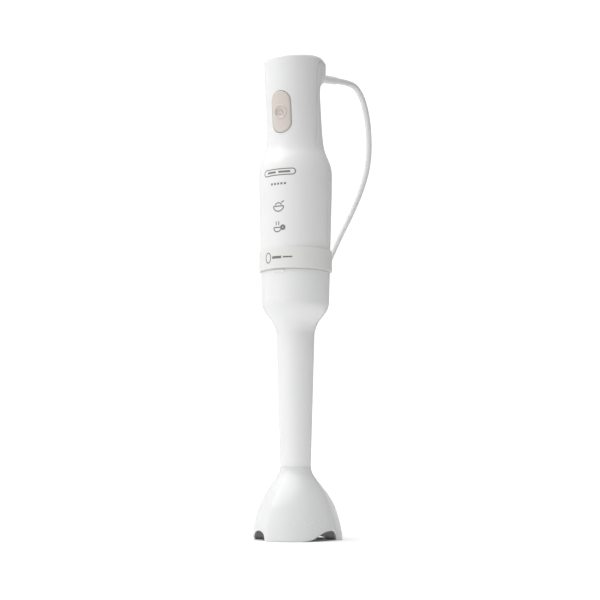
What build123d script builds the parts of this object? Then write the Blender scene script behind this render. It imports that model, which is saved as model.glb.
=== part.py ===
from build123d import *
import math
import os

# Hand blender standing on its blade guard. Millimetres, +Z up.
# The trigger faces -Y and the cord leaves towards +Y.
# The origin is on the surface it stands on, on the axis of the bar.

# ---- driving dimensions ----
WALL = 2.2                       # moulded shells
TOP_HEIGHT = 370.3               # top face, on the axis
TOP_SLOPE = 0.10                 # rise of the top face per millimetre towards the rear
SEAM_GAP = 0.35                  # joint line between the two body shells
BODY = (                         # motor unit: height, radius, how far the centre leans to the front
    (203.5, 26.45, 0.0), (222.0, 26.9, 0.0), (245.0, 27.55, 0.0), (265.0, 28.1, 0.0), (277.5, 28.25, 0.0),
    (284.0, 27.6, 0.0), (289.0, 26.1, 0.1), (294.0, 24.1, 0.3), (299.0, 22.6, 0.6), (306.0, 21.7, 1.0),
    (314.0, 21.3, 1.7), (327.0, 21.2, 3.1), (341.0, 21.3, 4.7), (352.0, 21.5, 5.2), (363.0, 21.9, 5.3),
    (383.5, 22.5, 5.3),
)
BODY_STEP = 5.0                  # spacing of the body's sections
BEAK_FRONT = -16.0               # the beak's ovals start inside the handle, at this y
BEAK_BLEND = 11.0                # how far the beak and the handle run into each other
BEAK = (                         # beak at the top rear: height, half width, rearmost y
    (203.5, 8.0, 2.0), (333.0, 8.0, 2.0), (343.0, 10.5, 14.0), (350.0, 13.2, 22.5), (354.0, 15.0, 28.2),
    (360.0, 16.9, 33.6), (365.0, 17.4, 34.9), (383.5, 17.6, 35.3),
)
OUTLINE_POINTS = 28              # points round each section
COLLAR_LOW, COLLAR_HIGH, COLLAR_R = 202.6, 218.6, 28.05
BAR_TOP, BAR_JOINT = 202.0, 54.5   # top of the bar's socket; joint between the bar and the guard
BAR_JOINT_R = 11.6
SOCKET_R, SPIGOT_R = 23.5, 23.2
SHAFT_R = 3.0
BUSH_CLEARANCE = 0.04
HEX_DRIVEN, HEX_CLEARANCE = 11.0, 0.15   # across flats of the coupling; gap on each flat

TRIGGER_Z, TRIGGER_W, TRIGGER_H = 323.7, 16.0, 32.0
TRIGGER_GAP, TRIGGER_PROUD = 0.4, 0.9

GUARD_PANELS, GUARD_FIRST_CREASE = 3, 18.0   # pinwheel panels; angle of the first crease
GUARD_LEAN, GUARD_INNER_LEAN = 2.05, 0.6     # offset of a panel's axis at the foot, outside and inside
BELL_R = 33.6                                # mean outer radius at the foot
ARCH_HEIGHT = 7.2

STACK_LOW, STACK_HIGH = 238.0, 268.0         # laminations of the motor
ROTOR_R, AIR_GAP, STATOR_R = 14.1, 0.5, 24.0
BRUSH_Z = 281.0
SCREW_AT, LUG_TOP = ((0, 18.2), (0, -18.2)), 272.0   # motor screws and the lugs under their heads

CORD_D = 5.0
SLEEVE_ROOT, SLEEVE_END = (0.0, 35.2, 365.8), (0.0, 70.0, 372.4)
SLEEVE_R, SLEEVE_END_R = 3.7, 3.3
# The cord's own route: it falls behind the handle, swings back behind the bar and lands on its coil.
DROP = (
    SLEEVE_END, (0, 90, 376.2), (0, 111, 377.4), (0, 127, 366), (-1, 138, 344), (-6, 147, 314), (-18, 146, 282),
    (-34, 139, 248), (-47, 129, 208), (-54, 119, 162), (-53, 110, 118), (-48, 103, 78), (-47, 98, 46),
    (-54, 94, 23), (-63, 84, 10.5),
)
COIL_AT, COIL_START, COIL_TURNS = (-35.0, 69.0), 178.0, 4.75  # centre; compass angle where it starts; turns
COIL_OUTER, COIL_PITCH = 32.0, 5.1           # radius of the outermost turn; side by side spacing
TAIL = ((-48.5, 101.6, 2.5), (-61.5, 109.1, 2.9), (-69, 122.1, 4.6), (-69, 136.5, 6.75))
PLUG_W, PLUG_H, PLUG_L = 34.0, 13.5, 34.0
PIN_R, PIN_L, PIN_SPACING = 2.0, 19.0, 19.0


# ---- helpers ----
def disc(radius, low, high, x=0.0, y=0.0):
    return Pos(x, y, (low + high) / 2) * Cylinder(radius, high - low)


def tube(outer, inner, low, high, x=0.0, y=0.0):
    return disc(outer, low, high, x, y) - disc(inner, low - 1, high + 1, x, y)


def block(xs, ys, zs):
    sizes = [high - low for low, high in (xs, ys, zs)]
    middle = [(high + low) / 2 for low, high in (xs, ys, zs)]
    return Pos(*middle) * Box(*sizes)


def rod(start, end, radius):
    """Round bar between two points."""
    start, end = Vector(*start), Vector(*end)
    along = end - start
    return extrude(Plane(start, z_dir=along) * Circle(radius), along.length)


def turned(*edges):
    """Solid of revolution about Z of a closed outline in the XZ plane."""
    return revolve(make_face(edges), Axis.Z)


def rz(points):
    return [(r, 0, z) for r, z in points]


def stadium(width, height, front, back):
    """Upright stadium prism centred on the trigger, from y = front to y = back."""
    face = Plane((0, front, TRIGGER_Z), x_dir=(0, 0, 1), z_dir=(0, 1, 0)) * SlotOverall(height, width)
    return extrude(face, back - front)


def spring(start, end, radius, wire, turns):
    """Round-wire compression spring between two points."""
    start, end = Vector(*start), Vector(*end)
    along = end - start
    free = along.length - 2 * wire
    path = Helix(pitch=free / turns, height=free, radius=radius)
    coil = sweep(Plane(path @ 0, z_dir=path % 0) * Circle(wire), path, is_frenet=True)
    return Plane(start, z_dir=along) * Pos(0, 0, wire) * coil


def write(**nodes):
    for name, shape in nodes.items():
        solids = shape.solids() if hasattr(shape, "solids") else [s for p in shape for s in p.solids()]
        export_step(Compound(children=[Solid(s.wrapped) for s in solids]), f"parts/{name}.step")


# ---- body shells ----
def slopes(knots, column):
    """Slope of one column of a table at each knot: zero at a peak, else the gentler of the two sides' mean."""
    rise = [(b[column] - a[column]) / (b[0] - a[0]) for a, b in zip(knots, knots[1:])]
    inner = [0.0 if a * b <= 0 else 2 * a * b / (a + b) for a, b in zip(rise, rise[1:])]
    return [rise[0]] + inner + [rise[-1]]


def row_at(table, z):
    """Values of a table at a height, from smooth cubics between its rows."""
    k = max(i for i in range(len(table) - 1) if table[i][0] <= z)
    low, high = table[k], table[k + 1]
    span = high[0] - low[0]
    t = (z - low[0]) / span
    values = []
    for column in range(1, len(low)):
        slope = slopes(table, column)
        start, end = slope[k] * span, slope[k + 1] * span
        values.append(low[column] * (1 + 2 * t) * (1 - t) ** 2 + high[column] * t * t * (3 - 2 * t)
                      + start * t * (1 - t) ** 2 - end * t * t * (1 - t))
    return values


def outline(z, inset):
    """Closed outline at a height: the round body and the beak's oval, run into each other."""
    radius, lean = row_at(BODY, z)
    half, rear = row_at(BEAK, z)
    length, offset = (rear - BEAK_FRONT) / 2, (rear + BEAK_FRONT) / 2 + lean
    points = []
    for k in range(OUTLINE_POINTS):
        angle = 2 * math.pi * k / OUTLINE_POINTS
        across, along = math.sin(angle), math.cos(angle)
        a = (across / half) ** 2 + (along / length) ** 2
        b = -2 * offset * along / length ** 2
        c = (offset / length) ** 2 - 1
        oval = (-b + math.sqrt(b * b - 4 * a * c)) / (2 * a)
        near = max(BEAK_BLEND - abs(radius - oval), 0) / BEAK_BLEND
        reach = max(radius, oval) + near * near * BEAK_BLEND / 4 - inset
        points.append((reach * across, reach * along - lean, z))
    return points


def body(inset):
    """Motor unit's form, drawn in by inset."""
    low, high = BODY[0][0], BODY[-1][0]
    rings = []
    for k in range(int((high - low) / BODY_STEP) + 1):
        rings.append(make_face(Spline(*outline(low + k * BODY_STEP, inset), periodic=True)))
    return loft(rings)


def above_top(drop):
    """Everything above the sloping top face, moved down by drop."""
    tilt = math.degrees(math.atan(TOP_SLOPE))
    return Pos(0, 0, TOP_HEIGHT - drop) * Rot(X=tilt) * Pos(0, 0, 50) * Box(200, 200, 100)


def rear_region():
    """Everything behind the joint line of the shells, as a prism along X."""
    top = TOP_HEIGHT - 3.5
    outline = [
        Line((0, 0, 190), (0, 0, 283)),
        Spline([(0, 0, 283), (0, -4.4, 292), (0, -8.2, 299), (0, -6.6, 306), (0, -5.5, 314)],
               tangents=[(0, 0, 1), (0, 0, 1)]),
        Line((0, -5.5, 314), (0, -5.5, top - 6.5)),
        ThreePointArc((0, -5.5, top - 6.5), (0, -3.7, top - 2.0), (0, 0.5, top)),
        Polyline((0, 0.5, top), (0, 60, top + 60 * TOP_SLOPE), (0, 60, 190), (0, 0, 190)),
    ]
    return extrude(make_face(outline), 60, both=True)


def body_shells():
    outer = body(0) - above_top(0)
    rim = outer.faces().sort_by(Axis.Z)[-1].edges()
    outer = fillet(rim, 2.0)
    inner = body(WALL) - above_top(WALL + 0.4)
    shell = outer - inner
    rear = rear_region()
    front_shell = shell - rear
    rear_shell = shell & (Pos(0, SEAM_GAP, -SEAM_GAP) * rear)

    hole = stadium(TRIGGER_W + 2 * TRIGGER_GAP, TRIGGER_H + 2 * TRIGGER_GAP, -40, -8)
    front_shell -= hole
    rear_shell -= rod(on_sleeve(28), on_sleeve(40), SLEEVE_R + 0.1)

    mid_wall = body(WALL / 2) - above_top(WALL / 2)
    room = mid_wall & (Pos(0, SEAM_GAP, -SEAM_GAP) * rear)
    for x, z in BOARD_SCREWS:
        post = rod((x, BOARD_BACK, z), (x, 30, z), 2.4) & room
        rear_shell = rear_shell + post - rod((x, BOARD_BACK - 1, z), (x, BOARD_BACK + 8, z), 1.0)
    saddle = block((-9, 9), (19, 25), (350, CLAMP_Z)) & room
    rear_shell = rear_shell + saddle - rod(on_sleeve(10), on_sleeve(33), CORD_D / 2)
    rear_shell -= [disc(1.0, CLAMP_Z - 8, CLAMP_Z + 1, x, 22) for x in CLAMP_SCREWS]
    return front_shell, rear_shell


def on_sleeve(y):
    """Point on the axis of the cord's sleeve at a given y."""
    slope = (SLEEVE_END[2] - SLEEVE_ROOT[2]) / (SLEEVE_END[1] - SLEEVE_ROOT[1])
    return (0.0, y, SLEEVE_ROOT[2] + slope * (y - SLEEVE_ROOT[1]))


# ---- trigger, switch and circuit ----
BOARD_FRONT, BOARD_BACK = -2.0, -0.4
BOARD_SCREWS = ((-10.5, 307.0), (10.5, 307.0))
CLAMP_SCREWS = (-6.2, 6.2)
CLAMP_Z = 363.4
FLANGE_FRONT, FLANGE_BACK = -17.8, -16.2
PLUNGER_FRONT, PLUNGER_L, PLUNGER_R = -14.3, 4.0, 1.3
SWITCH_FRONT, SWITCH_BORE = -12.0, 1.5
SPRING_OFFSET = 13.6


def trigger_button():
    cap = stadium(TRIGGER_W, TRIGGER_H, -32, FLANGE_FRONT) & body(-TRIGGER_PROUD)
    dimple = Pos(0, -24.8 - 21.4, TRIGGER_Z) * Sphere(22.0)
    cap -= dimple
    flange = stadium(TRIGGER_W + 2.6, TRIGGER_H + 2.6, FLANGE_FRONT, FLANGE_BACK)
    post = rod((0, FLANGE_BACK, TRIGGER_Z), (0, PLUNGER_FRONT - 0.1, TRIGGER_Z), 2.0)
    return cap + flange + post


def trigger_springs():
    ends = [(0, TRIGGER_Z - SPRING_OFFSET), (0, TRIGGER_Z + SPRING_OFFSET)]
    return [spring((x, FLANGE_BACK, z), (x, BOARD_FRONT, z), 1.9, 0.3, 6) for x, z in ends]


def microswitch():
    case = block((-3.2, 3.2), (SWITCH_FRONT, BOARD_FRONT), (TRIGGER_Z - 10, TRIGGER_Z + 10))
    case -= rod((0, SWITCH_FRONT - 1, TRIGGER_Z), (0, SWITCH_FRONT + 4.2, TRIGGER_Z), SWITCH_BORE)
    case = chamfer(case.edges().filter_by(Axis.Y).group_by(Axis.X)[0], 0.4)
    return case


def switch_plunger():
    return rod((0, PLUNGER_FRONT, TRIGGER_Z), (0, PLUNGER_FRONT + PLUNGER_L, TRIGGER_Z), PLUNGER_R)


def circuit_board():
    board = block((-13, 13), (BOARD_FRONT, BOARD_BACK), (303, 356))
    board -= [rod((x, BOARD_FRONT - 1, z), (x, BOARD_BACK + 1, z), 1.1) for x, z in BOARD_SCREWS]
    return board


def board_screws():
    heads = [rod((x, BOARD_FRONT - 1.4, z), (x, BOARD_FRONT, z), 2.0) for x, z in BOARD_SCREWS]
    shanks = [rod((x, BOARD_FRONT, z), (x, BOARD_BACK + 7, z), 0.95) for x, z in BOARD_SCREWS]
    return [head + shank for head, shank in zip(heads, shanks)]


def rectifier_diodes():
    return [rod((x, BOARD_BACK + 1.4, 311), (x, BOARD_BACK + 1.4, 316), 1.35) for x in (-6, -2, 2, 6)]


def choke_coils():
    return [disc(3.0, 321, 334, x, BOARD_BACK + 3.1) for x in (-7.5, 7.5)]


def suppression_capacitor():
    case = block((-6.5, 6.5), (BOARD_BACK, BOARD_BACK + 6), (338, 349))
    return fillet(case.edges().filter_by(Axis.Y), 1.0)


def lead(points, radii, wire):
    """Insulated wire along straight runs with rounded corners."""
    path = FilletPolyline(*points, radius=radii)
    return sweep(Plane(path @ 0, z_dir=path % 0) * Circle(wire), path)


def mains_leads():
    route = [(18.5, 362.4), (10.0, 361.0), (2.0, 357.0), (BOARD_BACK + 0.9, 351.0)]
    return [lead([(x, y, z) for y, z in route], 2.0, 0.8) for x in (-1.0, 1.0)]


def motor_leads():
    front = [(0, BOARD_FRONT - 0.1, 307), (0, -6, 306), (0, -15, 299), (0, -21.0, 292.5), (0, -21.0, 290.4)]
    rear = [(0, BOARD_BACK + 0.1, 307), (0, 5, 306), (0, 14, 299), (0, 21.0, 292.5), (0, 21.0, 290.4)]
    return [lead(front, 1.8, 0.8), lead(rear, 1.8, 0.8)]


def cord_clamp():
    bar = block((-8.6, 8.6), (20, 24), (CLAMP_Z + 0.1, CLAMP_Z + 3.6))
    bar -= rod(on_sleeve(10), on_sleeve(33), CORD_D / 2)
    return bar - [disc(1.2, CLAMP_Z - 1, CLAMP_Z + 5, x, 22) for x in CLAMP_SCREWS]


def clamp_screws():
    top = CLAMP_Z + 3.6
    return [disc(1.9, top, top + 1.2, x, 22) + disc(0.95, CLAMP_Z - 6, top, x, 22) for x in CLAMP_SCREWS]


def strain_relief():
    """Tapered sleeve with a flange inside the beak and a jacket end that the clamp holds."""
    inside, end = Vector(*on_sleeve(31.0)), Vector(*SLEEVE_END)
    along = end - inside
    sleeve = Part() + Solid.make_cone(SLEEVE_R, SLEEVE_END_R, along.length, Plane(inside, z_dir=along))
    sleeve = fillet(sleeve.edges().sort_by(Axis.Y)[-1], 0.5)
    flange = rod(on_sleeve(29.4), on_sleeve(31.0), SLEEVE_R + 0.7)
    jacket = rod(on_sleeve(18.6), on_sleeve(29.4), 2.45)
    return sleeve + flange + jacket


# ---- collar and coupling guide ----
def collar_ring():
    band = tube(COLLAR_R, 26.95, COLLAR_LOW, COLLAR_HIGH)
    band += tube(COLLAR_R, SPIGOT_R + 0.25, COLLAR_LOW, COLLAR_LOW + 0.8)
    edges = band.edges().filter_by(GeomType.CIRCLE).filter_by(lambda e: abs(e.radius - COLLAR_R) < 0.01)
    return fillet(edges, 0.5)


def coupling_guide():
    guide = tube(SPIGOT_R, 21.0, 188, 203.5) + tube(24.1, 10.2, 203.5, 206.5)
    guide += tube(12.2, 10.2, 199, 203.5)
    ribs = [Rot(Z=60 * i) * block((12.0, 21.2), (-0.8, 0.8), (199, 203.5)) for i in range(6)]
    return guide + ribs


# ---- motor ----
def motor_shaft():
    return disc(SHAFT_R, 197.0, 296.0)


def armature_core():
    core = tube(ROTOR_R, SHAFT_R, STACK_LOW, STACK_HIGH)
    slot = block((11.0, 15.0), (-0.9, 0.9), (STACK_LOW - 1, STACK_HIGH + 1))
    slot += disc(1.9, STACK_LOW - 1, STACK_HIGH + 1, 10.4)
    return core - [Rot(Z=30 * i) * slot for i in range(12)]


def armature_windings():
    ends = []
    for low, high in ((STACK_LOW - 6, STACK_LOW), (STACK_HIGH, STACK_HIGH + 6)):
        head = tube(12.4, SHAFT_R, low, high)
        ends.append(fillet(head.edges().filter_by(GeomType.CIRCLE).filter_by(lambda e: e.radius > 10), 2.0))
    return ends


def commutator():
    ring = tube(9.0, SHAFT_R, 275.5, 286.5)
    return ring - [Rot(Z=15 * i) * block((8.2, 9.5), (-0.2, 0.2), (276.5, 287)) for i in range(24)]


def cooling_fan():
    fan = tube(6.0, SHAFT_R, 210, 220) + tube(21.0, 5.5, 219, 220.2)
    blade = block((5.8, 20.5), (-0.6, 0.6), (211.5, 219.2))
    return fan + [Rot(Z=360 / 11 * i) * blade for i in range(11)]


def drive_coupling():
    socket = extrude(Pos(0, 0, 186.0) * RegularPolygon(HEX_DRIVEN / 2 + HEX_CLEARANCE, 6, major_radius=False), 11.0)
    return disc(9.2, 186.5, 205.5) - socket - disc(SHAFT_R, 196, 210)


def stator_stack():
    ring = tube(STATOR_R, 20.6, STACK_LOW, STACK_HIGH)
    bore = ROTOR_R + AIR_GAP
    shoe = tube(17.2, bore, STACK_LOW, STACK_HIGH)
    for side in (-1, 1):
        window = block((0, side * 30) if side > 0 else (-30, 0), (-12.5, 12.5), (STACK_LOW, STACK_HIGH))
        neck = block((16, 21.5) if side > 0 else (-21.5, -16), (-6, 6), (STACK_LOW, STACK_HIGH))
        ring += (shoe & window) + neck
    return ring - block((-30, 30), (22.4, 30), (200, 300)) - block((-30, 30), (-30, -22.4), (200, 300))


def field_coils():
    low, high = STACK_LOW - 4.5, STACK_HIGH + 4.5
    saddle = tube(20.4, 17.4, low, high)
    coils = []
    for side in (-1, 1):
        half = block((10, 25) if side > 0 else (-25, -10), (-12, 12), (low, high))
        neck = block((10, 25) if side > 0 else (-25, -10), (-6.3, 6.3), (STACK_LOW - 0.3, STACK_HIGH + 0.3))
        coils.append((saddle & half) - neck)
    return coils


def bearing(low, high, outer):
    ring = tube(outer, SHAFT_R + BUSH_CLEARANCE, low, high)
    groove = tube(outer - 1.6, SHAFT_R + 1.6, high - 0.5, high + 1)
    return ring - groove


def motor_bracket_lower():
    bracket = tube(22.4, 8.0, 224.0, 226.5) + tube(10.0, 8.0, 224.0, 231.0)
    bracket += tube(22.4, 20.7, 226.5, STACK_LOW) + [disc(2.6, 226.0, 236.0, x, y) for x, y in SCREW_AT]
    bracket -= [disc(1.35, 228.5, 240.0, x, y) for x, y in SCREW_AT]
    window = block((15, 30), (-5, 5), (229.0, 235.5))
    return bracket - [Rot(Z=60 * i) * window for i in range(6)]


def motor_bracket_upper():
    """Bridge over the stator that holds the upper bearing and the brush gear."""
    bracket = tube(22.6, 20.8, STACK_HIGH, 287.0) + tube(20.9, 8.0, 287.0, 289.5)
    bracket += tube(22.6, 20.0, 286.0, 288.0) + tube(10.0, 8.0, 289.5, 294.5)
    for x, y in SCREW_AT:
        lug = block((-5, 5), sorted((y / abs(y) * 16.2, y / abs(y) * 21.5)), (STACK_HIGH, LUG_TOP))
        bracket = bracket + lug - disc(1.4, 260, 280, x, y)
    brush_way = block((-3.7, 3.7), (-25, 25), (BRUSH_Z - 4.7, BRUSH_Z + 4.7))
    side_windows = block((-25, 25), (-7, 7), (276, 285))
    return bracket - brush_way - side_windows


def brush_holders():
    sleeve = block((-3.6, 3.6), (10.2, 20.0), (BRUSH_Z - 4.6, BRUSH_Z + 4.6))
    sleeve -= block((-2.6, 2.6), (9, 19.2), (BRUSH_Z - 3.6, BRUSH_Z + 3.6))
    return [sleeve, Rot(Z=180) * sleeve]


def carbon_brushes():
    brush = block((-2.5, 2.5), (8.9, 15.0), (BRUSH_Z - 3.5, BRUSH_Z + 3.5)) - disc(9.1, 270, 290)
    return [brush, Rot(Z=180) * brush]


def brush_springs():
    coil = spring((0, 15.0, BRUSH_Z), (0, 19.2, BRUSH_Z), 1.8, 0.25, 3)
    return [coil, Rot(Z=180) * coil]


def motor_damper_lower():
    return tube(24.2, 22.4, 224.0, 229.0)


def motor_damper_upper():
    return tube(24.4, 22.6, 270.0, 274.0)


def motor_screws():
    return [disc(1.3, 229, LUG_TOP, x, y) + disc(2.2, LUG_TOP, LUG_TOP + 2, x, y) for x, y in SCREW_AT]


# ---- blending bar ----
def bar_housing():
    outside = [
        Line(*rz([(26.4, BAR_TOP), (25.75, 179.0)])),
        Spline(rz([(25.75, 179.0), (25.0, 175.2), (21.3, 168.9), (16.9, 162.7), (14.85, 156.8), (14.4, 151.0)]),
               tangents=[(-0.03, 0, -1), (-0.03, 0, -1)]),
        Line(*rz([(14.4, 151.0), (BAR_JOINT_R, BAR_JOINT)])),
    ]
    inside = [
        Polyline(rz([(26.4, BAR_TOP), (SOCKET_R, BAR_TOP), (SOCKET_R, 180.0), (21.6, 180.0)])),
        Spline(rz([(21.6, 180.0), (20.9, 175.0), (16.6, 166.2), (13.4, 158.5), (12.1, 150.0)]),
               tangents=[(-0.02, 0, -1), (-0.05, 0, -1)]),
        Polyline(rz([(12.1, 150.0), (9.5, BAR_JOINT), (BAR_JOINT_R, BAR_JOINT)])),
    ]
    housing = turned(*outside, *inside)
    rim = housing.edges().filter_by(GeomType.CIRCLE).filter_by(lambda e: abs(e.radius - 26.4) < 0.01)
    housing = fillet(rim, 0.7)
    tab = block((-4.8, 4.8), (-26.75, -25.4), (199.4, 201.2))
    return housing + tab


def bell(inset, lean, spread):
    """One leaning bell form; its axis passes through the joint and is off centre by lean at the foot."""
    foot = BELL_R - inset
    outline = [
        Spline(rz([(foot + 0.4, -6), (foot, 1), (foot - 1.9, 14), (foot - 5.2, 26), (foot - 10.8, 37.5),
                   (foot - 17.6, 45.5 - spread), (BAR_JOINT_R - inset, BAR_JOINT - spread)]),
               tangents=[(0, 0, 1), (0, 0, 1)]),
        Polyline(rz([(BAR_JOINT_R - inset, BAR_JOINT - spread), (0, BAR_JOINT - spread), (0, -6),
                     (foot + 0.4, -6)])),
    ]
    tilt = -math.degrees(math.atan(lean / BAR_JOINT))
    return Pos(0, 0, BAR_JOINT) * Rot(Y=tilt) * Pos(0, 0, -BAR_JOINT) * turned(*outline)


def sector(start, span, low, high):
    """Prism over the angles from start to start + span."""
    corners = [(0, 0)] + [(90 * math.cos(math.radians(start + span * k / 4)),
                           90 * math.sin(math.radians(start + span * k / 4))) for k in range(5)]
    return extrude(Pos(0, 0, low) * make_face(Polyline(*corners, close=True)), high - low)


def arch(start):
    """Opening that lifts the rear part of a panel's lower edge, cut along the radius."""
    middle = math.radians(start + 84)
    radial = Vector(math.cos(middle), math.sin(middle), 0)
    plane = Plane(radial * 16, x_dir=(-math.sin(middle), math.cos(middle), 0), z_dir=radial)
    rise = [(-21.5, -0.2), (-13.0, 1.6), (-6.0, 5.0), (1.0, 6.9), (8.0, ARCH_HEIGHT), (14.5, 5.9), (18.4, 2.6)]
    edges = [Spline(rise), Polyline([rise[-1], (19.2, -2.0), (-21.5, -2.0), rise[0]])]
    return extrude(plane * make_face(edges), 40)


def blade_guard():
    """Three leaning panels make the pinwheel; the hub inside carries the bush and the seal."""
    guard = Part()
    span = 360 / GUARD_PANELS
    for k in range(GUARD_PANELS):
        start = GUARD_FIRST_CREASE + span * k
        towards = start - 30
        outer = Rot(Z=towards) * bell(0, GUARD_LEAN, 0)
        inner = Rot(Z=towards) * bell(3.1, GUARD_INNER_LEAN, 3.0)
        wedge = sector(start, span, 0, BAR_JOINT)
        guard += (outer - inner) & wedge
        guard -= arch(start)
    guard += disc(11.0, 30.5, BAR_JOINT - 4) + disc(9.3, BAR_JOINT - 5, 68)
    guard -= disc(6.0, 20, 80) + disc(7.0, 20, 42) + disc(8.6, 20, 33.5)
    return guard


def shaft_support():
    support = tube(SOCKET_R - 0.1, 5.0, 180.0, 182.4) + tube(8.0, 5.0, 161.0, 180.0)
    ribs = [Rot(Z=60 * i) * block((7.8, 15.0), (-0.8, 0.8), (172.0, 180.0)) for i in range(6)]
    return support + ribs


def upper_bush():
    return tube(5.0, SHAFT_R + BUSH_CLEARANCE, 162.5, 182.0)


def lower_bush():
    return tube(6.0, SHAFT_R + BUSH_CLEARANCE, 42.0, 66.0)


def lip_seal():
    return tube(7.0, SHAFT_R + BUSH_CLEARANCE, 34.5, 41.5) - tube(5.6, 4.2, 30, 38.5)


def seal_washer():
    return tube(8.5, SHAFT_R + 0.4, 32.2, 33.5)


def blade_shaft():
    return disc(SHAFT_R, 8.0, 195.0)


def retaining_clip():
    return tube(4.8, SHAFT_R, 66.4, 67.4) - block((0, 6), (-1.5, 1.5), (60, 70))


def driven_coupling():
    hexagon = extrude(Pos(0, 0, 184.0) * RegularPolygon(HEX_DRIVEN / 2, 6, major_radius=False), 11.6)
    coupling = hexagon + disc(7.5, 182.8, 185.2)
    return coupling - disc(SHAFT_R, 180, 195.0)


def blade():
    """Two-winged steel blade, one wing bent up and the other down."""
    thick, root_z = 1.3, 10.6
    blade = disc(6.0, root_z, root_z + thick)
    for angle, bend in ((0, 14), (180, -9)):
        corners = ((3, -4.6), (15, -5.2), (22.8, -2.2), (23.2, 2.0), (18, 4.9), (3, 4.6))
        wing = extrude(make_face(Polyline(*corners, close=True)), thick)
        edge = Pos(14, -5.4, thick) * Rot(X=32) * Box(30, 3.4, 1.4)
        blade += Rot(Z=angle) * Pos(0, 0, root_z) * Rot(Y=-bend) * (wing - edge)
    return blade - disc(SHAFT_R, 0, 40)


def blade_hub():
    hub = Solid.make_cone(4.6, 6.0, 17.5, Plane((0, 0, 11.9)))
    return Part() + hub - disc(SHAFT_R, 0, 40) - blade()


def blade_nut():
    return disc(4.6, 7.0, 10.6) - disc(SHAFT_R, 8.0, 20) - blade()


# ---- cord and plug ----
def corner_radii(route):
    """Radius at each inner point: 0.45 of the shorter run, divided by the tangent of half the turn."""
    radii = []
    for before, at, after in zip(route, route[1:], route[2:]):
        first, second = Vector(*at) - Vector(*before), Vector(*after) - Vector(*at)
        half_turn = math.radians(first.get_angle(second)) / 2
        radii.append(0.45 * min(first.length, second.length) / math.tan(half_turn))
    return radii


def cord_tube(route):
    radii = corner_radii(route)
    path = FilletPolyline(*route, radius=radii)
    cord = sweep(Plane(path @ 0, z_dir=path % 0) * Circle(CORD_D / 2), path)
    section = math.pi * (CORD_D / 2) ** 2
    print("cord radii", [round(r) for r in radii], "volume / section x length",
          round(cord.volume / (section * path.length), 3), "length", round(path.length))
    return cord


def coil_end():
    """Where the last turn leaves the coil, on the floor."""
    angle = math.radians(COIL_START + 360 * COIL_TURNS)
    return (COIL_AT[0] + COIL_OUTER * math.cos(angle), COIL_AT[1] + COIL_OUTER * math.sin(angle), CORD_D / 2)


def cord_coil():
    inner = COIL_OUTER - COIL_PITCH * COIL_TURNS / 2 - CORD_D / 2
    return tube(COIL_OUTER + 1.0, inner, 0.0, 2 * CORD_D + 0.2, *COIL_AT)


def plug_frame():
    """Plane at the plug's rear, looking along the pins."""
    heading = Vector(*TAIL[-1]) - Vector(*TAIL[-2])
    heading = Vector(heading.X, heading.Y, 0).normalized()
    return Plane(Vector(*TAIL[-1]), x_dir=heading.cross(Vector(0, 0, 1)), z_dir=heading)


def plug_body():
    frame = plug_frame()
    boss = extrude(frame * Circle(4.2), 9)
    ends = [
        frame.offset(6) * RectangleRounded(17, 10.5, 4),
        frame.offset(16) * RectangleRounded(PLUG_W - 3, PLUG_H, 5),
        frame.offset(PLUG_L) * RectangleRounded(PLUG_W, PLUG_H, 5),
    ]
    return boss + loft(ends, ruled=True)


def plug_pins():
    frame = plug_frame().offset(PLUG_L)
    pins = []
    for side in (-1, 1):
        at = frame * Pos(side * PIN_SPACING / 2, 0, 0)
        pins.append(extrude(at * Circle(PIN_R), PIN_L))
    return pins


def main():
    os.makedirs("parts", exist_ok=True)
    front_shell, rear_shell = body_shells()
    write(front_shell=front_shell, rear_shell=rear_shell, collar_ring=collar_ring(),
          coupling_guide=coupling_guide(), trigger_button=trigger_button(), trigger_springs=trigger_springs(),
          microswitch=microswitch(), switch_plunger=switch_plunger(), circuit_board=circuit_board(),
          board_screws=board_screws(), rectifier_diodes=rectifier_diodes(), choke_coils=choke_coils(),
          suppression_capacitor=suppression_capacitor(), mains_leads=mains_leads(), motor_leads=motor_leads(),
          cord_clamp=cord_clamp(), clamp_screws=clamp_screws(), strain_relief=strain_relief())
    write(motor_shaft=motor_shaft(), armature_core=armature_core(), armature_windings=armature_windings(),
          commutator=commutator(), cooling_fan=cooling_fan(), drive_coupling=drive_coupling(),
          stator_stack=stator_stack(), field_coils=field_coils(), motor_bearing_lower=bearing(225.0, 231.0, 8.0),
          motor_bearing_upper=bearing(288.5, 294.5, 8.0), motor_bracket_lower=motor_bracket_lower(),
          motor_bracket_upper=motor_bracket_upper(), brush_holders=brush_holders(), carbon_brushes=carbon_brushes(),
          brush_springs=brush_springs(), motor_damper_lower=motor_damper_lower(),
          motor_damper_upper=motor_damper_upper(), motor_screws=motor_screws())
    write(bar_housing=bar_housing(), blade_guard=blade_guard(), shaft_support=shaft_support(),
          upper_bush=upper_bush(), lower_bush=lower_bush(), lip_seal=lip_seal(), seal_washer=seal_washer(),
          blade_shaft=blade_shaft(), retaining_clip=retaining_clip(), driven_coupling=driven_coupling(),
          blade=blade(), blade_hub=blade_hub(), blade_nut=blade_nut())
    write(power_cord=cord_tube(DROP), cord_coil=cord_coil(), cord_tail=cord_tube((coil_end(),) + TAIL),
          plug_body=plug_body(), plug_pins=plug_pins())


main()
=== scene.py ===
import math

import bmesh
import bpy
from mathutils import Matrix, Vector
from mathutils.bvhtree import BVHTree


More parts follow.
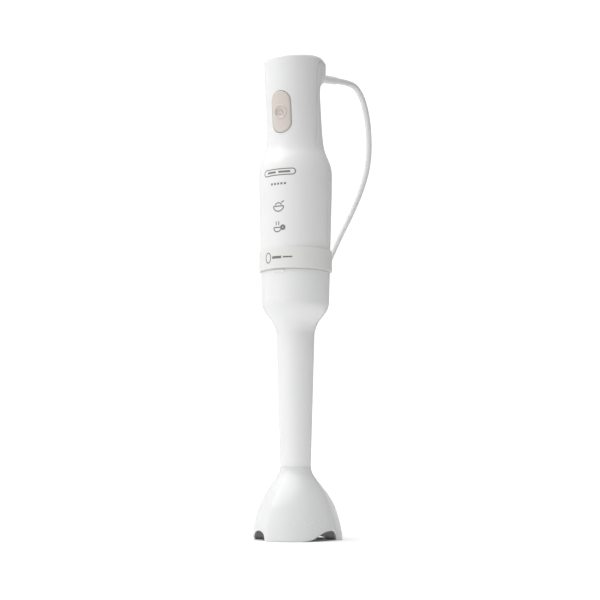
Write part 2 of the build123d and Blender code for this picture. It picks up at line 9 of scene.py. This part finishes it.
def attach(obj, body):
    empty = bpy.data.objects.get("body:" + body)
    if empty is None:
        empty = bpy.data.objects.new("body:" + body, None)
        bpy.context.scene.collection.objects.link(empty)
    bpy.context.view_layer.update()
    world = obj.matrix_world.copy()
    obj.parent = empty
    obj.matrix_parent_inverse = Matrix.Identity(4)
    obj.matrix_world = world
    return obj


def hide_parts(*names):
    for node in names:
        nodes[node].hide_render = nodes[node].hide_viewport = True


MM = 0.001

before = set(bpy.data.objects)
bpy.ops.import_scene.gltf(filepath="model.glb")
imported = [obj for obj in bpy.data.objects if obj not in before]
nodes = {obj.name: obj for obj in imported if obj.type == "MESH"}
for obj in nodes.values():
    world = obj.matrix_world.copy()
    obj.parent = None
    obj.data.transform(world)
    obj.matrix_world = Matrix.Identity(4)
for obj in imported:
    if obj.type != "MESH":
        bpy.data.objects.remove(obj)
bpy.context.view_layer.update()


def mm(x, y, z):
    return Vector((x, y, z)) * MM


# ---- camera ----
AZIMUTH = math.radians(28.0)
RIGHT = Vector((math.cos(AZIMUTH), math.sin(AZIMUTH), 0.0))
TOWARD = Vector((math.sin(AZIMUTH), -math.cos(AZIMUTH), 0.0))
UP = Vector((0.0, 0.0, 1.0))
CAMERA_HEIGHT, CAMERA_DISTANCE, CAMERA_SIDE = 0.062, 1.0, 0.0034
CAMERA_PITCH = math.radians(6.8)
LENS = 78.66

camera = bpy.data.objects.new("camera", bpy.data.cameras.new("camera"))
bpy.context.scene.collection.objects.link(camera)
camera.data.lens = LENS
camera.data.sensor_width = 36.0
camera.data.clip_start, camera.data.clip_end = 0.01, 50.0
camera.location = TOWARD * CAMERA_DISTANCE + RIGHT * CAMERA_SIDE + UP * CAMERA_HEIGHT
look = UP * math.sin(CAMERA_PITCH) - TOWARD * math.cos(CAMERA_PITCH)
camera.rotation_euler = look.to_track_quat("-Z", "Y").to_euler()
bpy.context.scene.camera = camera


# ---- cord ----
CORD_D = 5.0
SLEEVE_END = (0, 70, 372.4)
DROP = (
    SLEEVE_END, (0, 90, 376.2), (0, 111, 377.4), (0, 127, 366), (-1, 138, 344), (-6, 147, 314),
    (-18, 146, 282), (-34, 139, 248), (-47, 129, 208), (-54, 119, 162), (-53, 110, 118), (-48, 103, 78),
    (-47, 98, 46), (-54, 94, 23), (-63, 84, 10.5),
)
TAIL = ((-48.5, 101.6, 2.5), (-61.5, 109.1, 2.9), (-69, 122.1, 4.6), (-69, 136.5, 6.75))
COIL_AT, COIL_START, COIL_TURNS = (-35.0, 69.0), 178.0, 4.75
COIL_OUTER, COIL_PITCH, COIL_STEPS = 32.0, 5.1, 16
LAYERS_Z = (CORD_D / 2 + COIL_PITCH, CORD_D / 2)


def smooth(t):
    t = min(max(t, 0.0), 1.0)
    return t * t * (3 - 2 * t)


def coil_points():
    """Turns from the outside in on top, then back out on the surface below."""
    points = []
    for k in range(1, int(COIL_TURNS * COIL_STEPS) + 1):
        turn = k / COIL_STEPS
        half = COIL_TURNS / 2
        radius = COIL_OUTER - COIL_PITCH * (half - abs(turn - half))
        radius /= math.cos(math.pi / COIL_STEPS)
        z = LAYERS_Z[0] + (LAYERS_Z[1] - LAYERS_Z[0]) * smooth((turn - half) / 0.5 + 0.5)
        angle = math.radians(COIL_START) + 2 * math.pi * turn
        points.append((COIL_AT[0] + radius * math.cos(angle), COIL_AT[1] + radius * math.sin(angle), z))
    return points


def cord_curve(name, points):
    curve = bpy.data.curves.new(name, "CURVE")
    curve.dimensions = "3D"
    spline = curve.splines.new("NURBS")
    spline.points.add(len(points) - 1)
    for point, at in zip(spline.points, points):
        point.co = (*mm(*at), 1.0)
    spline.order_u = 3
    spline.use_endpoint_u = True
    spline.resolution_u = 8
    curve.bevel_depth = CORD_D / 2 * MM
    curve.bevel_resolution = 6
    curve.use_fill_caps = True
    made = bpy.data.objects.new(name, curve)
    bpy.context.scene.collection.objects.link(made)
    return made


# ---- finishes ----
def finish(name, colour, other, rough, grain, depth, metallic=0.0, ior=1.47, coat=0.0, stretch=(1, 1, 1),
           drift=30.0, spread=0.12, scuff=0.0, subsurface=0.0):
    """Two close colours and a roughness that drift over the surface, with a fine grain as relief.
    grain is the grain's size and depth its height, in millimetres."""
    made = bpy.data.materials.new(name)
    made.use_nodes = True
    tree = made.node_tree
    shader = tree.nodes["Principled BSDF"]
    shader.inputs["Metallic"].default_value = metallic
    shader.inputs["IOR"].default_value = ior
    shader.inputs["Coat Weight"].default_value = coat
    shader.inputs["Coat Roughness"].default_value = 0.06
    shader.inputs["Subsurface Weight"].default_value = subsurface
    shader.inputs["Subsurface Radius"].default_value = (0.006, 0.006, 0.006)
    shader.inputs["Subsurface Scale"].default_value = 1.0

    def node(kind, **values):
        added = tree.nodes.new(kind)
        for key, value in values.items():
            setattr(added, key, value)
        return added

    def noise(scale, detail, roughness=0.55):
        added = node("ShaderNodeTexNoise")
        added.inputs["Scale"].default_value = scale
        added.inputs["Detail"].default_value = detail
        added.inputs["Roughness"].default_value = roughness
        tree.links.new(mapping.outputs["Vector"], added.inputs["Vector"])
        return added.outputs["Fac"]

    def spanned(value, low, high, first=0.3, last=0.7):
        added = node("ShaderNodeMapRange")
        for key, number in (("From Min", first), ("From Max", last), ("To Min", low), ("To Max", high)):
            added.inputs[key].default_value = number
        tree.links.new(value, added.inputs["Value"])
        return added.outputs["Result"]

    coord = node("ShaderNodeTexCoord")
    mapping = node("ShaderNodeMapping")
    mapping.inputs["Scale"].default_value = stretch
    tree.links.new(coord.outputs["Object"], mapping.inputs["Vector"])

    broad = noise(drift, 3.0)
    fine = noise(1.0 / (grain * MM), 2.0)
    tint = node("ShaderNodeMix", data_type="RGBA")
    tint.inputs["A"].default_value = (*colour, 1.0)
    tint.inputs["B"].default_value = (*other, 1.0)
    tree.links.new(spanned(broad, 0.0, 1.0), tint.inputs["Factor"])
    tree.links.new(tint.outputs["Result"], shader.inputs["Base Color"])

    wander = node("ShaderNodeMath", operation="MULTIPLY_ADD")
    tree.links.new(spanned(fine, -1.0, 1.0), wander.inputs[0])
    wander.inputs[1].default_value = rough * spread
    tree.links.new(spanned(broad, rough * (1 - spread), rough * (1 + spread)), wander.inputs[2])
    roughness = wander.outputs["Value"]
    if scuff:
        lines = noise(1.0 / (0.35 * MM), 1.0)
        mark = spanned(lines, 0.0, scuff, 0.66, 0.74)
        more = node("ShaderNodeMath", operation="ADD")
        tree.links.new(roughness, more.inputs[0])
        tree.links.new(mark, more.inputs[1])
        roughness = more.outputs["Value"]
    tree.links.new(roughness, shader.inputs["Roughness"])

    relief = node("ShaderNodeBump")
    relief.inputs["Strength"].default_value = 1.0
    relief.inputs["Distance"].default_value = depth * MM
    tree.links.new(fine, relief.inputs["Height"])
    tree.links.new(relief.outputs["Normal"], shader.inputs["Normal"])
    return made


WHITE, COOL = (0.81, 0.81, 0.805), (0.795, 0.80, 0.80)
FINISHES = {
    "body_white": finish("body_white", WHITE, COOL, 0.20, 1.6, 0.0035, coat=0.25, scuff=0.03),
    "rear_white": finish("rear_white", (0.79, 0.79, 0.785), COOL, 0.24, 1.6, 0.0035, coat=0.2, scuff=0.03),
    "collar_white": finish("collar_white", (0.76, 0.755, 0.745), (0.75, 0.75, 0.74), 0.36, 0.45, 0.006),
    "bar_white": finish("bar_white", WHITE, COOL, 0.22, 1.8, 0.004, coat=0.2, scuff=0.03),
    "guard_white": finish("guard_white", (0.755, 0.758, 0.76), (0.74, 0.744, 0.747), 0.24, 1.6, 0.004, coat=0.2,
                          scuff=0.03, subsurface=0.35),
    "trigger_grey": finish("trigger_grey", (0.675, 0.615, 0.565), (0.645, 0.59, 0.545), 0.46, 0.30, 0.012),
    "cord_white": finish("cord_white", (0.78, 0.78, 0.77), (0.75, 0.75, 0.74), 0.40, 0.6, 0.004),
    # sleeve_white is set lighter than the body's white to brighten the sleeve where it sits in shade: painted
    # light in its colour
    "sleeve_white": finish("sleeve_white", (0.83, 0.83, 0.825), (0.80, 0.80, 0.79), 0.44, 0.5, 0.012),
    "plug_white": finish("plug_white", (0.76, 0.76, 0.75), (0.73, 0.73, 0.72), 0.38, 0.5, 0.014),
    "plated_pins": finish("plated_pins", (0.72, 0.71, 0.69), (0.66, 0.65, 0.63), 0.22, 0.25, 0.004,
                          metallic=1.0),
    "blade_steel": finish("blade_steel", (0.62, 0.62, 0.63), (0.55, 0.55, 0.56), 0.28, 0.22, 0.006,
                          metallic=1.0, stretch=(1, 9, 1)),
    "shaft_steel": finish("shaft_steel", (0.56, 0.56, 0.57), (0.50, 0.50, 0.51), 0.30, 0.2, 0.005,
                          metallic=1.0, stretch=(1, 1, 8)),
    "screw_steel": finish("screw_steel", (0.60, 0.60, 0.62), (0.52, 0.52, 0.54), 0.32, 0.3, 0.006,
                          metallic=1.0),
    "spring_steel": finish("spring_steel", (0.58, 0.58, 0.60), (0.48, 0.48, 0.50), 0.34, 0.3, 0.006,
                          metallic=1.0),
    "bronze": finish("bronze", (0.55, 0.36, 0.18), (0.47, 0.30, 0.15), 0.42, 0.25, 0.02, metallic=1.0),
    "seal_rubber": finish("seal_rubber", (0.02, 0.02, 0.02), (0.03, 0.03, 0.03), 0.62, 0.3, 0.02),
    "laminations": finish("laminations", (0.34, 0.34, 0.35), (0.27, 0.27, 0.28), 0.46, 0.5, 0.05,
                          metallic=1.0, stretch=(1, 1, 12)),
    "copper": finish("copper", (0.62, 0.25, 0.10), (0.50, 0.18, 0.07), 0.34, 0.5, 0.08, metallic=1.0),
    "carbon": finish("carbon", (0.03, 0.03, 0.032), (0.05, 0.05, 0.05), 0.66, 0.2, 0.02),
    "inner_white": finish("inner_white", (0.70, 0.70, 0.68), (0.66, 0.66, 0.64), 0.5, 0.5, 0.02),
    "coupling_black": finish("coupling_black", (0.03, 0.03, 0.03), (0.05, 0.05, 0.05), 0.45, 0.4, 0.015),
    "board_green": finish("board_green", (0.03, 0.17, 0.07), (0.05, 0.22, 0.09), 0.38, 1.2, 0.03),
    "electric_black": finish("electric_black", (0.03, 0.03, 0.03), (0.04, 0.04, 0.04), 0.5, 0.4, 0.02),
    "capacitor_blue": finish("capacitor_blue", (0.05, 0.12, 0.36), (0.06, 0.14, 0.40), 0.36, 0.8, 0.02),
    "brush_brass": finish("brush_brass", (0.70, 0.50, 0.20), (0.60, 0.42, 0.17), 0.30, 0.3, 0.008,
                          metallic=1.0),
    "wire_brown": finish("wire_brown", (0.20, 0.09, 0.04), (0.23, 0.11, 0.05), 0.42, 0.5, 0.01),
}
INK = finish("print_grey", (0.20, 0.20, 0.19), (0.17, 0.17, 0.16), 0.5, 0.3, 0.002)

for carried in nodes.values():
    for k, held in enumerate(carried.data.materials):
        carried.data.materials[k] = FINISHES[held.name.split(".")[0]]


# ---- mesh helpers ----
def piece(name, verts, faces, slot, body, shaded=True):
    """Mesh in millimetres, given its finish, its slot and the body it rides on."""
    mesh = bpy.data.meshes.new(name)
    mesh.from_pydata([mm(*v) for v in verts], [], faces)
    tidy = bmesh.new()
    tidy.from_mesh(mesh)
    bmesh.ops.remove_doubles(tidy, verts=tidy.verts, dist=1e-6)
    bmesh.ops.recalc_face_normals(tidy, faces=tidy.faces)
    tidy.to_mesh(mesh)
    tidy.free()
    for polygon in mesh.polygons:
        polygon.use_smooth = shaded
    made = bpy.data.objects.new(name, mesh)
    bpy.context.scene.collection.objects.link(made)
    made.data.materials.append(FINISHES[slot])
    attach(made, body)
    return made


def bridged(rings, closed_ends=(True, True)):
    """Faces between rings of equal length, with a fan on a closed end."""
    count = len(rings[0])
    verts = [v for ring in rings for v in ring]
    faces = []
    for k in range(len(rings) - 1):
        for i in range(count):
            j = (i + 1) % count
            faces.append((k * count + i, k * count + j, (k + 1) * count + j, (k + 1) * count + i))
    for wanted, k in zip(closed_ends, (0, len(rings) - 1)):
        if wanted:
            middle = [sum(v[a] for v in rings[k]) / count for a in range(3)]
            verts.append(tuple(middle))
            centre = len(verts) - 1
            faces += [(k * count + i, k * count + (i + 1) % count, centre) for i in range(count)]
    return verts, faces


# ---- blade guard ----
GUARD_PANELS, FIRST_CREASE = 3, 18.0
GUARD_TOP = 54.5                 # joint with the bar
BELL = (  # height, radius at a panel's low end, outside
    (54.5, 11.6), (52.3, 11.85), (50.4, 12.4), (48.3, 13.4), (45.0, 15.4), (41.0, 18.0), (36.5, 20.8),
    (31.0, 23.6), (25.0, 26.2), (19.0, 28.3), (13.0, 30.0), (7.0, 31.2), (3.0, 31.8), (0.0, 32.1), (-1.0, 32.2),
)
STEP_OUT = 3.5                   # how far a panel starts outside the end of the one before
GUARD_WALL, LIP = 2.0, 0.7
ARCH = (                         # share of a panel, height of its lower edge
    (0.0, 0.0), (0.40, 0.0), (0.50, 1.0), (0.58, 3.4), (0.66, 5.7), (0.74, 6.9), (0.82, 7.2),
    (0.89, 6.5), (0.925, 5.0), (0.945, 3.0), (0.955, 0.6), (0.965, 0.0), (1.0, 0.0),
)


def between(table, at):
    """Smooth value of a table at a place."""
    rows = sorted(table)
    at = min(max(at, rows[0][0]), rows[-1][0])
    slopes = [(b[1] - a[1]) / (b[0] - a[0]) for a, b in zip(rows, rows[1:])]
    knots = [slopes[0]] + [0.0 if a * b <= 0 else 2 * a * b / (a + b) for a, b in zip(slopes, slopes[1:])]
    knots.append(slopes[-1])
    k = next(i for i in range(len(rows) - 1) if at <= rows[i + 1][0])
    span = rows[k + 1][0] - rows[k][0]
    t = (at - rows[k][0]) / span
    return (rows[k][1] * (1 + 2 * t) * (1 - t) ** 2 + rows[k + 1][1] * t * t * (3 - 2 * t)
            + knots[k] * span * t * (1 - t) ** 2 - knots[k + 1] * span * t * t * (1 - t))


def crease_depth(z):
    """The step between panels fades out below the neck."""
    return STEP_OUT * smooth((50.0 - z) / 26.0)


def panel_angles():
    """Places round one panel: share of the panel, and how much of the step has been climbed."""
    fillet = ((-2.0, 0.0), (-1.4, 0.02), (-0.9, 0.09), (-0.45, 0.24), (-0.1, 0.45), (0.2, 0.64),
              (0.6, 0.82), (1.1, 0.94), (1.6, 0.99), (2.0, 1.0))
    turn = 1.0 / 70.0            # share of a panel that a millimetre takes at the foot
    rows = [(u * turn, climbed) for u, climbed in fillet]
    rows += [(0.03 + 0.37 * k / 15, 1.0) for k in range(1, 15)]
    rows += [(0.40 + 0.575 * k / 60, 1.0) for k in range(60)]
    return rows


def guard_radius(z, share, climbed, inside):
    base = between(BELL, z)
    step = crease_depth(z)
    if share < 0.03 and climbed < 1.0:
        out = step * climbed
    else:
        out = step * (1 - share) ** 2
    radius = base + out
    if inside:
        radius = base - GUARD_WALL * smooth((GUARD_TOP - z) / 6.0 + 0.4) + 0.85 * out
    return radius


def guard_foot(share):
    return between(ARCH, share % 1.0)


def guard_ring(depth, inside, lift=0.0, draw=0.0):
    """One ring round the guard. depth runs from 0 at the neck to 1 at the lower edge."""
    ring = []
    lag = 0.026 if inside else 0.0
    for k in range(GUARD_PANELS):
        for share, climbed in panel_angles():
            low = guard_foot(share) + lift
            z = GUARD_TOP + (low - GUARD_TOP) * depth
            angle = math.radians(FIRST_CREASE + 360 / GUARD_PANELS * (k + share + lag))
            radius = guard_radius(z, share, climbed, inside) + draw
            ring.append((radius * math.cos(angle), radius * math.sin(angle), z))
    return ring


def blade_guard():
    rings = []
    depths = [0.0, 0.0006] + [k / 44 for k in range(1, 45)]
    for depth in depths:
        rings.append(guard_ring(depth, False, LIP))
    for k in range(1, 4):
        a = math.pi / 2 * k / 4
        rings.append(guard_ring(1.0, False, LIP * (1 - math.sin(a)), -LIP * (1 - math.cos(a))))
    for k in range(4, -1, -1):
        a = math.pi / 2 * k / 4
        rings.append(guard_ring(1.0, True, LIP * (1 - math.sin(a)), LIP * (1 - math.cos(a))))
    for depth in reversed(depths[4:-1]):
        rings.append(guard_ring(depth, True, LIP))
    hub = ((11.4, 48.6), (11.0, 46.0), (11.0, 31.0), (10.6, 30.5), (8.7, 30.5), (8.6, 30.9), (8.6, 33.5),
           (7.0, 33.6), (7.0, 42.0), (6.05, 42.0), (6.05, 60.0), (6.05, 68.0), (9.2, 68.0), (9.3, 67.6),
           (9.3, 54.6), (9.5, 54.5), (11.6, 54.5))
    count = len(rings[0])
    angles = [math.atan2(v[1], v[0]) for v in rings[0]]
    for radius, z in hub:
        rings.append([(radius * math.cos(a), radius * math.sin(a), z) for a in angles])
    verts, faces = bridged(rings, (False, False))
    last = (len(rings) - 1) * count
    for i in range(count):
        j = (i + 1) % count
        faces.append((last + i, last + j, j, i))
    made = piece("guard_shell", verts, faces, "guard_white", "blending_bar")
    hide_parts("blade_guard")


blade_guard()


# ---- collar's lower lip ----
LIP_OUTER, LIP_INNER, LIP_LOW, LIP_HIGH = 26.15, 24.2, 202.06, 202.62


def collar_lip():
    """Thin ring that closes the gap between the collar and the bar to a fine line."""
    section = ((LIP_INNER, LIP_LOW), (LIP_OUTER - 0.15, LIP_LOW), (LIP_OUTER, LIP_LOW + 0.15),
               (LIP_OUTER, LIP_HIGH), (LIP_INNER, LIP_HIGH))
    around = [2 * math.pi * k / 160 for k in range(160)]
    rings = [[(r * math.cos(a), r * math.sin(a), z) for a in around] for r, z in section]
    verts, faces = bridged(rings + rings[:1], (False, False))
    piece("collar_lip", verts, faces, "collar_white", "motor_unit")


collar_lip()


# ---- trigger ----
TRIGGER_Z, TRIGGER_W, TRIGGER_H, TRIGGER_PROUD = 323.7, 16.0, 32.0, 0.9
shell_tree = BVHTree.FromObject(nodes["front_shell"], bpy.context.evaluated_depsgraph_get())
collar_tree = BVHTree.FromObject(nodes["collar_ring"], bpy.context.evaluated_depsgraph_get())


def front_y(tree, x, z):
    """Where the front surface lies, in millimetres."""
    hit = tree.ray_cast(mm(x, -100, z), Vector((0, 1, 0)))[0]
    return hit.y / MM


HANDLE_R, BESIDE = 21.25, 9.3


def handle_y(x, z):
    """The handle's surface carried on over the trigger's opening."""
    rise = math.sqrt(HANDLE_R ** 2 - BESIDE ** 2) - math.sqrt(HANDLE_R ** 2 - x * x)
    return front_y(shell_tree, BESIDE, z) + rise


def stadium(angle, half_w, half_h):
    """Point of an upright stadium in a direction from its centre."""
    dx, dz = math.sin(angle), math.cos(angle)
    straight = half_h - half_w
    if abs(dx) > 1e-9 and abs(dz / dx) * half_w <= straight:
        return (half_w * (1 if dx > 0 else -1), half_w * dz / abs(dx))
    side = straight if dz > 0 else -straight
    along = side * dz + math.sqrt(half_w ** 2 - (side * dx) ** 2)
    return (along * dx, along * dz)


DIMPLE_R, DIMPLE_DEPTH = 6.4, 2.1
RING_R, RING_WIDTH, RING_HEIGHT = 4.8, 0.5, 0.85
ARROW_HEIGHT = 0.80
TRIGGER_BACK, FLANGE = -17.8, (1.3, 1.6)    # rear of the cap; how far its flange stands out, and its thickness
POST_R, POST_END = 2.0, -14.4


def trigger_relief(x, z):
    """Height of the face over the handle's surface: a thumb dimple with a ring and a small arrow."""
    r = math.hypot(x, z)
    height = -DIMPLE_DEPTH * (1 - smooth(r / DIMPLE_R)) if r < DIMPLE_R else 0.0
    height += RING_HEIGHT * math.exp(-((r - RING_R) / RING_WIDTH) ** 2)
    arrow = max(abs(x) * 0.9 + z * 0.5 - 0.85, -z - 1.5)
    height += ARROW_HEIGHT * (1 - smooth(arrow / 0.4 + 0.5)) if r < 4 else 0.0
    return height


def trigger():
    around, half_w, half_h, edge = 128, TRIGGER_W / 2, TRIGGER_H / 2, 1.1
    angles = [2 * math.pi * k / around for k in range(around)]
    rings = []
    inner = [0.15 * k for k in range(1, 47)]
    for radius in inner:
        ring = []
        for a in angles:
            x, z = radius * math.sin(a), radius * math.cos(a)
            y = handle_y(x, TRIGGER_Z + z) - TRIGGER_PROUD - trigger_relief(x, z)
            ring.append((x, y, TRIGGER_Z + z))
        rings.append(ring)
    steps = [(k / 8, 0.0) for k in range(1, 9)]
    steps += [(1.0, math.pi / 2 * k / 6) for k in range(1, 7)]
    for share, round_off in steps:
        ring = []
        for a in angles:
            inset = edge * (1 - math.sin(round_off))
            ox, oz = stadium(a, half_w - inset, half_h - inset)
            ix, iz = inner[-1] * math.sin(a), inner[-1] * math.cos(a)
            x, z = ix + (ox - ix) * share, iz + (oz - iz) * share
            y = handle_y(x, TRIGGER_Z + z) - TRIGGER_PROUD + edge * (1 - math.cos(round_off))
            ring.append((x, y, TRIGGER_Z + z))
        rings.append(ring)
    rings.append([(v[0], TRIGGER_BACK, v[2]) for v in rings[-1]])
    flange = [(*stadium(a, half_w + FLANGE[0], half_h + FLANGE[0]),) for a in angles]
    rings.append([(x, TRIGGER_BACK, TRIGGER_Z + z) for x, z in flange])
    rings.append([(x, TRIGGER_BACK + FLANGE[1], TRIGGER_Z + z) for x, z in flange])
    for y in (TRIGGER_BACK + FLANGE[1], POST_END):
        rings.append([(POST_R * math.sin(a), y, TRIGGER_Z + POST_R * math.cos(a)) for a in angles])
    verts, faces = bridged(rings)
    made = piece("trigger_cap", verts, faces, "trigger_grey", "trigger")
    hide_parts("trigger_button")


trigger()


# ---- printed marks ----
PRINT_LIFT, PRINT_DEPTH = 0.05, 0.06


def stroke(points, width, closed=False, step=0.6):
    """Quads that follow a line of points with an even width."""
    points = [Vector(p) for p in points]
    if closed:
        points.append(points[0])
    dense = [points[0]]
    for a, b in zip(points, points[1:]):
        n = max(1, math.ceil((b - a).length / step))
        dense += [a + (b - a) * (k / n) for k in range(1, n + 1)]
    count = len(dense) - 1
    edges = []
    for k, p in enumerate(dense):
        before = dense[(k - 1) % count] if closed else dense[max(k - 1, 0)]
        after = dense[(k + 1) % count] if closed else dense[min(k + 1, count)]
        along = (after - before).normalized()
        across = Vector((-along.y, along.x)) * width / 2
        edges.append((p + across, p - across))
    return [(edges[k][0], edges[k][1], edges[k + 1][1], edges[k + 1][0]) for k in range(count)]


def arc(cx, cz, rx, rz, start, end, n=24):
    return [(cx + rx * math.cos(math.radians(start + (end - start) * k / n)),
             cz + rz * math.sin(math.radians(start + (end - start) * k / n))) for k in range(n + 1)]


def printed(name, quads, tree, centre_z):
    """Ink that follows the surface: thin closed film over the front, x sideways and z from centre_z."""
    mesh = bmesh.new()
    for quad in quads:
        fronts, backs = [], []
        for u, v in quad:
            z = centre_z + v
            y = front_y(tree, u, z)
            fronts.append(mesh.verts.new(mm(u, y - PRINT_LIFT, z)))
            backs.append(mesh.verts.new(mm(u, y + PRINT_DEPTH, z)))
        mesh.faces.new(fronts)
        mesh.faces.new(backs[::-1])
        for i in range(4):
            j = (i + 1) % 4
            mesh.faces.new((fronts[j], fronts[i], backs[i], backs[j]))
    bmesh.ops.remove_doubles(mesh, verts=mesh.verts, dist=1e-6)
    inner = [f for f in mesh.faces if all(len(e.link_faces) > 2 for e in f.edges)]
    bmesh.ops.delete(mesh, geom=inner, context="FACES_ONLY")
    bmesh.ops.recalc_face_normals(mesh, faces=mesh.faces)
    data = bpy.data.meshes.new(name)
    mesh.to_mesh(data)
    mesh.free()
    made = bpy.data.objects.new(name, data)
    bpy.context.scene.collection.objects.link(made)
    data.materials.append(INK)
    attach(made, "motor_unit")


# A plain pill outline with two bars stands where the maker's word would be, and a row of dots below it.
PILL = arc(-11.0, 0, 2.3, 2.3, 90, 270) + arc(11.0, 0, 2.3, 2.3, -90, 90)
printed("mark_main", stroke(PILL, 0.75, closed=True)
        + stroke([(-9.6, 0), (-2.0, 0)], 1.5) + stroke([(0.2, 0), (9.6, 0)], 1.5), shell_tree, 276.0)
printed("mark_dots", sum([stroke([(x - 0.8, 0), (x + 0.8, 0)], 1.6) for x in (-5.6, -2.8, 0, 2.8, 5.6)], []),
        shell_tree, 267.0)
BOWL = arc(0, 0.4, 4.3, 3.9, 180, 360)
printed("mark_bowl", stroke(BOWL, 0.85, closed=True) + stroke(arc(0, 0.4, 2.9, 2.5, 20, 160), 0.8)
        + stroke([(2.6, 3.0), (4.7, 4.3)], 0.9), shell_tree, 249.4)
printed("mark_steam", stroke([(x * 0.75 - 1.0, z * 0.85 - 0.8) for x, z in BOWL], 0.85, closed=True)
        + stroke(arc(3.5, -0.6, 1.3, 1.3, 0, 360)[:-1], 1.6, closed=True)
        + stroke([(-2.3, 1.2), (-1.8, 2.2), (-2.3, 3.2), (-1.8, 4.2)], 0.65)
        + stroke([(0.0, 1.2), (0.5, 2.2), (0.0, 3.2), (0.5, 4.2)], 0.65), shell_tree, 234.1)
printed("mark_collar", stroke(arc(-9.2, 0, 2.4, 3.8, 0, 360)[:-1], 0.7, closed=True)
        + stroke([(-5.2, 0), (2.6, 0)], 1.9) + stroke([(4.0, 0), (11.0, 0)], 1.1), collar_tree, 210.8)


# ---- plug ----
PLUG_L = 34.0
PLUG = (  # distance from the rear, half width, half height, squareness
    (0.0, 3.6, 3.6, 2.0), (0.6, 4.1, 4.1, 2.0), (5.0, 4.6, 4.4, 2.1), (8.0, 8.4, 5.2, 2.6),
    (11.0, 11.9, 5.9, 3.0), (14.0, 14.2, 6.4, 3.4), (18.0, 15.5, 6.65, 3.6),
    (24.0, 16.3, 6.7, 3.8), (30.0, 16.8, 6.7, 4.0),
    (33.2, 17.0, 6.7, 4.0), (33.8, 16.8, 6.5, 4.0), (34.0, 16.3, 6.0, 4.0),
)


def plug():
    rear = Vector(TAIL[-1])
    heading = Vector(TAIL[-1]) - Vector(TAIL[-2])
    heading.z = 0.0
    heading.normalize()
    side = heading.cross(UP)
    around = 72
    rings = []
    for k in range(103):
        at = PLUG_L * k / 102
        half_w, half_h, square = [between([(row[0], row[c]) for row in PLUG], at) for c in (1, 2, 3)]
        grip = 0.35 * max(0.0, math.sin((at - 17.0) / 12.0 * math.pi * 5)) if 17.0 < at < 29.0 else 0.0
        ring = []
        for i in range(around):
            a = 2 * math.pi * i / around
            c, s = math.cos(a), math.sin(a)
            u = (half_w - grip * abs(c)) * math.copysign(abs(c) ** (2 / square), c)
            v = half_h * math.copysign(abs(s) ** (2 / square), s)
            ring.append(tuple(rear + heading * at + side * u + UP * v))
        rings.append(ring)
    verts, faces = bridged(rings)
    made = piece("plug_shell", verts, faces, "plug_white", "motor_unit")
    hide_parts("plug_body")
    return made


plug_piece = plug()

cord = cord_curve("cord", list(DROP) + coil_points() + list(TAIL))
cord.data.materials.append(FINISHES["cord_white"])
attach(cord, "motor_unit")
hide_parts("power_cord", "cord_coil", "cord_tail")


# ---- studio ----
def ground():
    """Pale floor round the object."""
    mesh = bmesh.new()
    bmesh.ops.create_circle(mesh, cap_ends=True, segments=96, radius=0.6)
    data = bpy.data.meshes.new("floor")
    mesh.to_mesh(data)
    mesh.free()
    made = bpy.data.objects.new("floor", data)
    bpy.context.scene.collection.objects.link(made)
    paper = finish("floor_paper", (0.95, 0.95, 0.95), (0.94, 0.94, 0.94), 0.7, 0.8, 0.01, ior=1.0)
    data.materials.append(paper)


def softbox(name, at, aim, width, height, watts):
    light = bpy.data.lights.new(name, "AREA")
    light.shape = "RECTANGLE"
    light.size, light.size_y, light.energy = width, height, watts
    made = bpy.data.objects.new(name, light)
    bpy.context.scene.collection.objects.link(made)
    made.location = at
    made.rotation_euler = (Vector(aim) - Vector(at)).to_track_quat("-Z", "Y").to_euler()


def surroundings(seen, left, right):
    """White all round where it is looked at. As light it is bright on the left and greyer on the right."""
    world = bpy.data.worlds.new("studio")
    world.use_nodes = True
    tree = world.node_tree
    ground_light = tree.nodes["Background"]
    ground_light.inputs["Color"].default_value = (1, 1, 1, 1)
    coord = tree.nodes.new("ShaderNodeTexCoord")
    along = tree.nodes.new("ShaderNodeVectorMath")
    along.operation = "DOT_PRODUCT"
    along.inputs[1].default_value = -RIGHT
    span = tree.nodes.new("ShaderNodeMapRange")
    for key, number in (("From Min", -0.45), ("From Max", 0.35), ("To Min", right), ("To Max", left)):
        span.inputs[key].default_value = number
    span.interpolation_type = "SMOOTHSTEP"
    tree.links.new(coord.outputs["Generated"], along.inputs[0])
    tree.links.new(along.outputs["Value"], span.inputs["Value"])
    tree.links.new(span.outputs["Result"], ground_light.inputs["Strength"])
    bright = tree.nodes.new("ShaderNodeBackground")
    bright.inputs["Color"].default_value = (1, 1, 1, 1)
    bright.inputs["Strength"].default_value = seen
    path = tree.nodes.new("ShaderNodeLightPath")
    mix = tree.nodes.new("ShaderNodeMixShader")
    tree.links.new(path.outputs["Is Camera Ray"], mix.inputs["Fac"])
    tree.links.new(ground_light.outputs["Background"], mix.inputs[1])
    tree.links.new(bright.outputs["Background"], mix.inputs[2])
    tree.links.new(mix.outputs["Shader"], tree.nodes["World Output"].inputs["Surface"])
    bpy.context.scene.world = world


ground()
surroundings(1.15, 0.78, 0.37)
MIDDLE = (0.0, 0.0, 0.19)
softbox("key", TOWARD * 0.8 - RIGHT * 1.15 + UP * 0.45, MIDDLE, 1.2, 1.5, 1.5)
softbox("overhead", UP * 1.55 - RIGHT * 0.45, (0, 0, 0), 1.9, 2.2, 26.5)
bpy.context.scene.view_settings.view_transform = "Standard"
